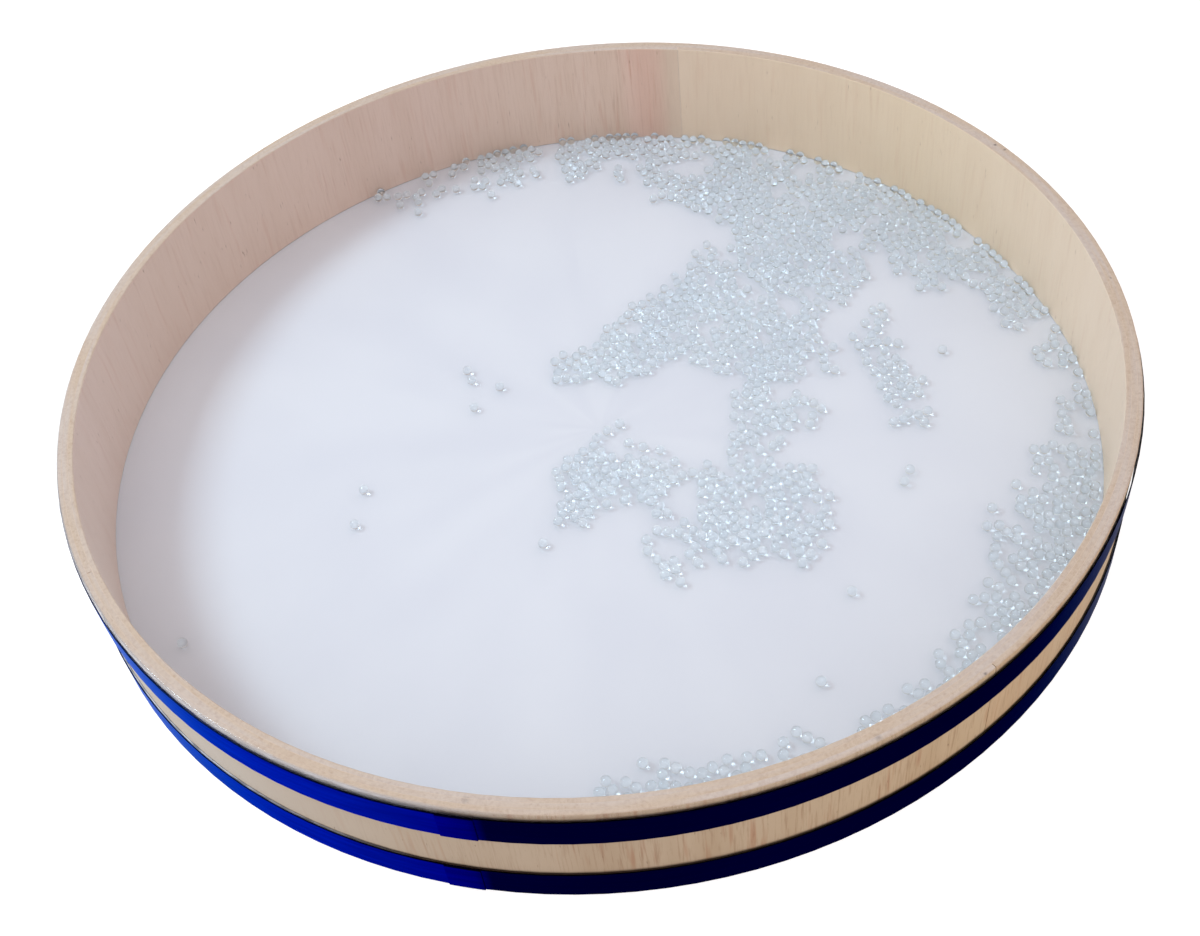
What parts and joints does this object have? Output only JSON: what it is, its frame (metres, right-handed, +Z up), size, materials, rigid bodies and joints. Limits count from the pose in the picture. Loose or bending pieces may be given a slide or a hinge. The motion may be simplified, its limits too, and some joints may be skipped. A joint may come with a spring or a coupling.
{
  "type": "ocean drum",
  "caption": "Shallow round ocean drum: a bent plywood hoop with a clear head above, a white head below, blue tape bands and loose clear beads that roll between the heads.",
  "frame": {"origin": "middle of the white head's underside, on the surface that the drum rests on", "axes": "+Z up along the drum's axis, through the shallow hoop; -Y towards the picture's viewer, +X to the viewer's right"},
  "size_m": [0.4078, 0.4078, 0.0508],
  "materials": {
    "birch_plywood": "sanded, unvarnished",
    "white_film": "smooth opaque polyester film",
    "clear_film": "smooth clear polyester film",
    "blue_tape": "glossy adhesive tape",
    "clear_bead": "clear polished bead"
  },
  "bodies": {
    "drum": {"hoop_inner_ply": "birch_plywood", "hoop_core_ply": "birch_plywood", "hoop_outer_ply": "birch_plywood", "bottom_head": "white_film", "top_head": "clear_film", "lower_band": "blue_tape", "upper_band": "blue_tape"},
    "bead_charge": {"arm_drift_beads": "clear_bead", "back_bank_beads": "clear_bead", "centre_drift_beads": "clear_bead", "front_bank_beads": "clear_bead", "front_right_bank_beads": "clear_bead", "islet_beads": "clear_bead", "right_bank_beads": "clear_bead", "tail_beads": "clear_bead"},
    "stray_1": {"stray_bead_1": "clear_bead"},
    "stray_2": {"stray_bead_2": "clear_bead"},
    "stray_3": {"stray_bead_3": "clear_bead"},
    "stray_4": {"stray_bead_4": "clear_bead"},
    "stray_5": {"stray_bead_5": "clear_bead"},
    "stray_6": {"stray_bead_6": "clear_bead"},
    "stray_7": {"stray_bead_7": "clear_bead"},
    "stray_8": {"stray_bead_8": "clear_bead"},
    "stray_9": {"stray_bead_9": "clear_bead"},
    "stray_10": {"stray_bead_10": "clear_bead"},
    "stray_11": {"stray_bead_11": "clear_bead"},
    "stray_12": {"stray_bead_12": "clear_bead"},
    "stray_13": {"stray_bead_13": "clear_bead"},
    "stray_14": {"stray_bead_14": "clear_bead"}
  },
  "joints": [
    {"name": "bead_swirl", "type": "hinge", "parent": "drum", "child": "bead_charge", "pos_m": [0, 0, 0], "axis": [0, 0, 1], "continuous": true},
    {"name": "stray_1_roll", "type": "slide", "parent": "bead_charge", "child": "stray_1", "axis": [0.9848, -0.1736, 0], "range_m": [-0.01, 0.01]},
    {"name": "stray_2_roll", "type": "slide", "parent": "bead_charge", "child": "stray_2", "axis": [0.9848, -0.1736, 0], "range_m": [-0.01, 0.01]},
    {"name": "stray_3_roll", "type": "slide", "parent": "bead_charge", "child": "stray_3", "axis": [0.9848, -0.1736, 0], "range_m": [-0.01, 0.01]},
    {"name": "stray_4_roll", "type": "slide", "parent": "bead_charge", "child": "stray_4", "axis": [0.9848, -0.1736, 0], "range_m": [-0.01, 0.01]},
    {"name": "stray_5_roll", "type": "slide", "parent": "bead_charge", "child": "stray_5", "axis": [0.9848, -0.1736, 0], "range_m": [-0.01, 0.01]},
    {"name": "stray_6_roll", "type": "slide", "parent": "bead_charge", "child": "stray_6", "axis": [0.9848, -0.1736, 0], "range_m": [-0.01, 0.01]},
    {"name": "stray_7_roll", "type": "slide", "parent": "bead_charge", "child": "stray_7", "axis": [0.9848, -0.1736, 0], "range_m": [-0.01, 0.01]},
    {"name": "stray_8_roll", "type": "slide", "parent": "bead_charge", "child": "stray_8", "axis": [0.9848, -0.1736, 0], "range_m": [-0.01, 0.01]},
    {"name": "stray_9_roll", "type": "slide", "parent": "bead_charge", "child": "stray_9", "axis": [0.9848, -0.1736, 0], "range_m": [-0.01, 0.01]},
    {"name": "stray_10_roll", "type": "slide", "parent": "bead_charge", "child": "stray_10", "axis": [0.9848, -0.1736, 0], "range_m": [-0.01, 0.01]},
    {"name": "stray_11_roll", "type": "slide", "parent": "bead_charge", "child": "stray_11", "axis": [0.9848, -0.1736, 0], "range_m": [-0.01, 0.01]},
    {"name": "stray_12_roll", "type": "slide", "parent": "bead_charge", "child": "stray_12", "axis": [0.9848, -0.1736, 0], "range_m": [-0.01, 0.01]},
    {"name": "stray_13_roll", "type": "slide", "parent": "bead_charge", "child": "stray_13", "axis": [0.9848, -0.1736, 0], "range_m": [-0.01, 0.01]},
    {"name": "stray_14_roll", "type": "slide", "parent": "bead_charge", "child": "stray_14", "axis": [0.9848, -0.1736, 0], "range_m": [-0.01, 0.01]}
  ]
}
